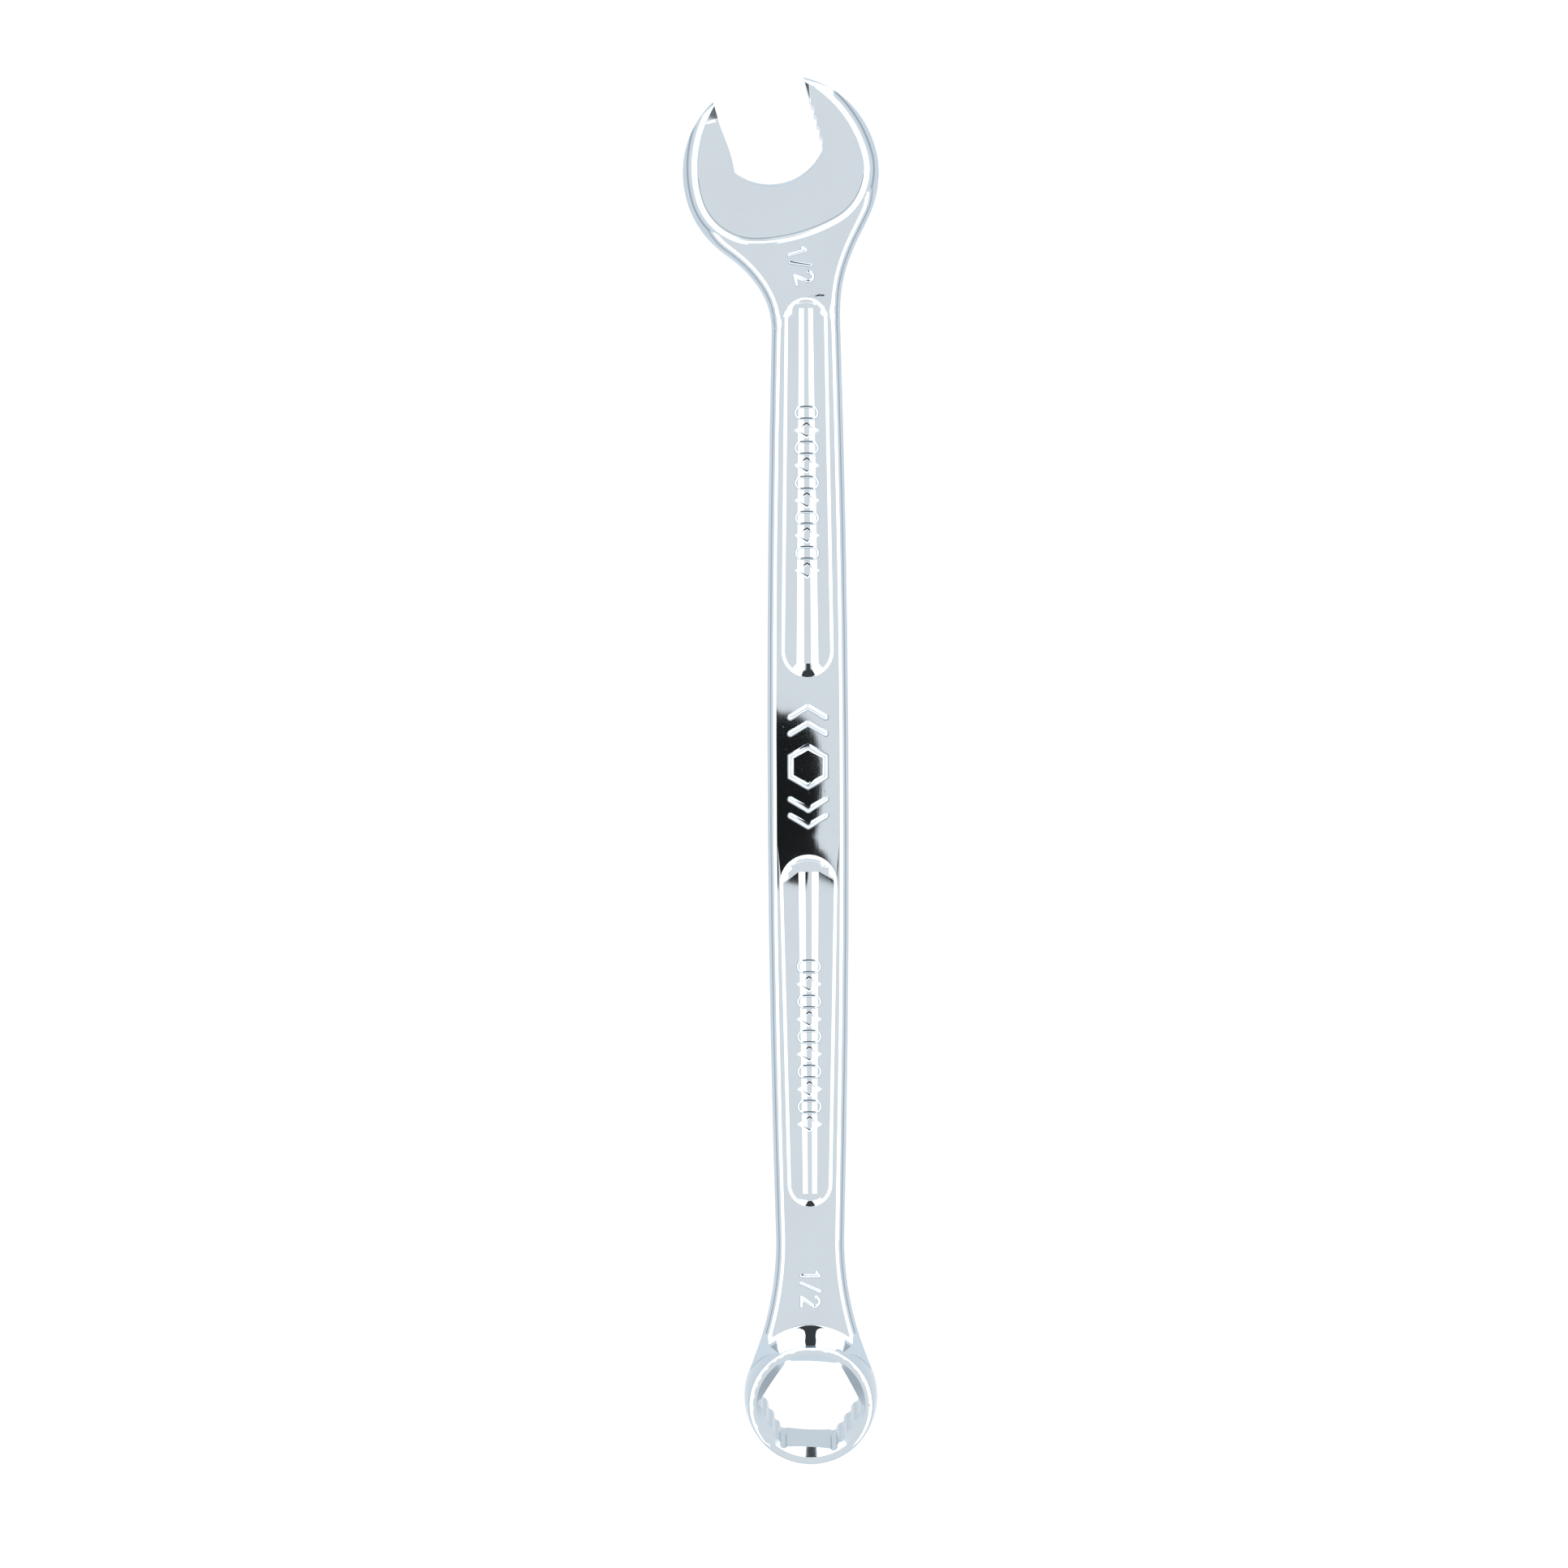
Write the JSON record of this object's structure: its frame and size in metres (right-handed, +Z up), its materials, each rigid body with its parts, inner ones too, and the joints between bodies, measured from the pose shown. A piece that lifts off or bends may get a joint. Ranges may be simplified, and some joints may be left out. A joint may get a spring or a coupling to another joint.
{
  "type": "combination wrench",
  "caption": "Combination wrench: a 15 degree open-end jaw and a tilted six-point box end on one flat shank with recessed panels and raised centre bars.",
  "frame": {"origin": "bottom centre of the whole wrench's box, under the shank, level with the lowest point of the box end", "axes": "+Y along the shank towards the open end, +Z up out of the flat faces, +X to the right"},
  "size_m": [0.0276, 0.1952, 0.0128],
  "materials": {
    "polished_chrome": "mirror-polished chrome plate with faint wiping marks",
    "raised_mark_chrome": "chrome plate, slightly softer over the raised marks"
  },
  "bodies": {
    "root": {"open_end_head": "polished_chrome", "shank": "polished_chrome", "box_end_ring": "polished_chrome", "head_size_marks": "raised_mark_chrome", "ring_size_marks": "raised_mark_chrome", "panel_marks": "raised_mark_chrome", "shank_emblem": "raised_mark_chrome"}
  },
  "joints": []
}
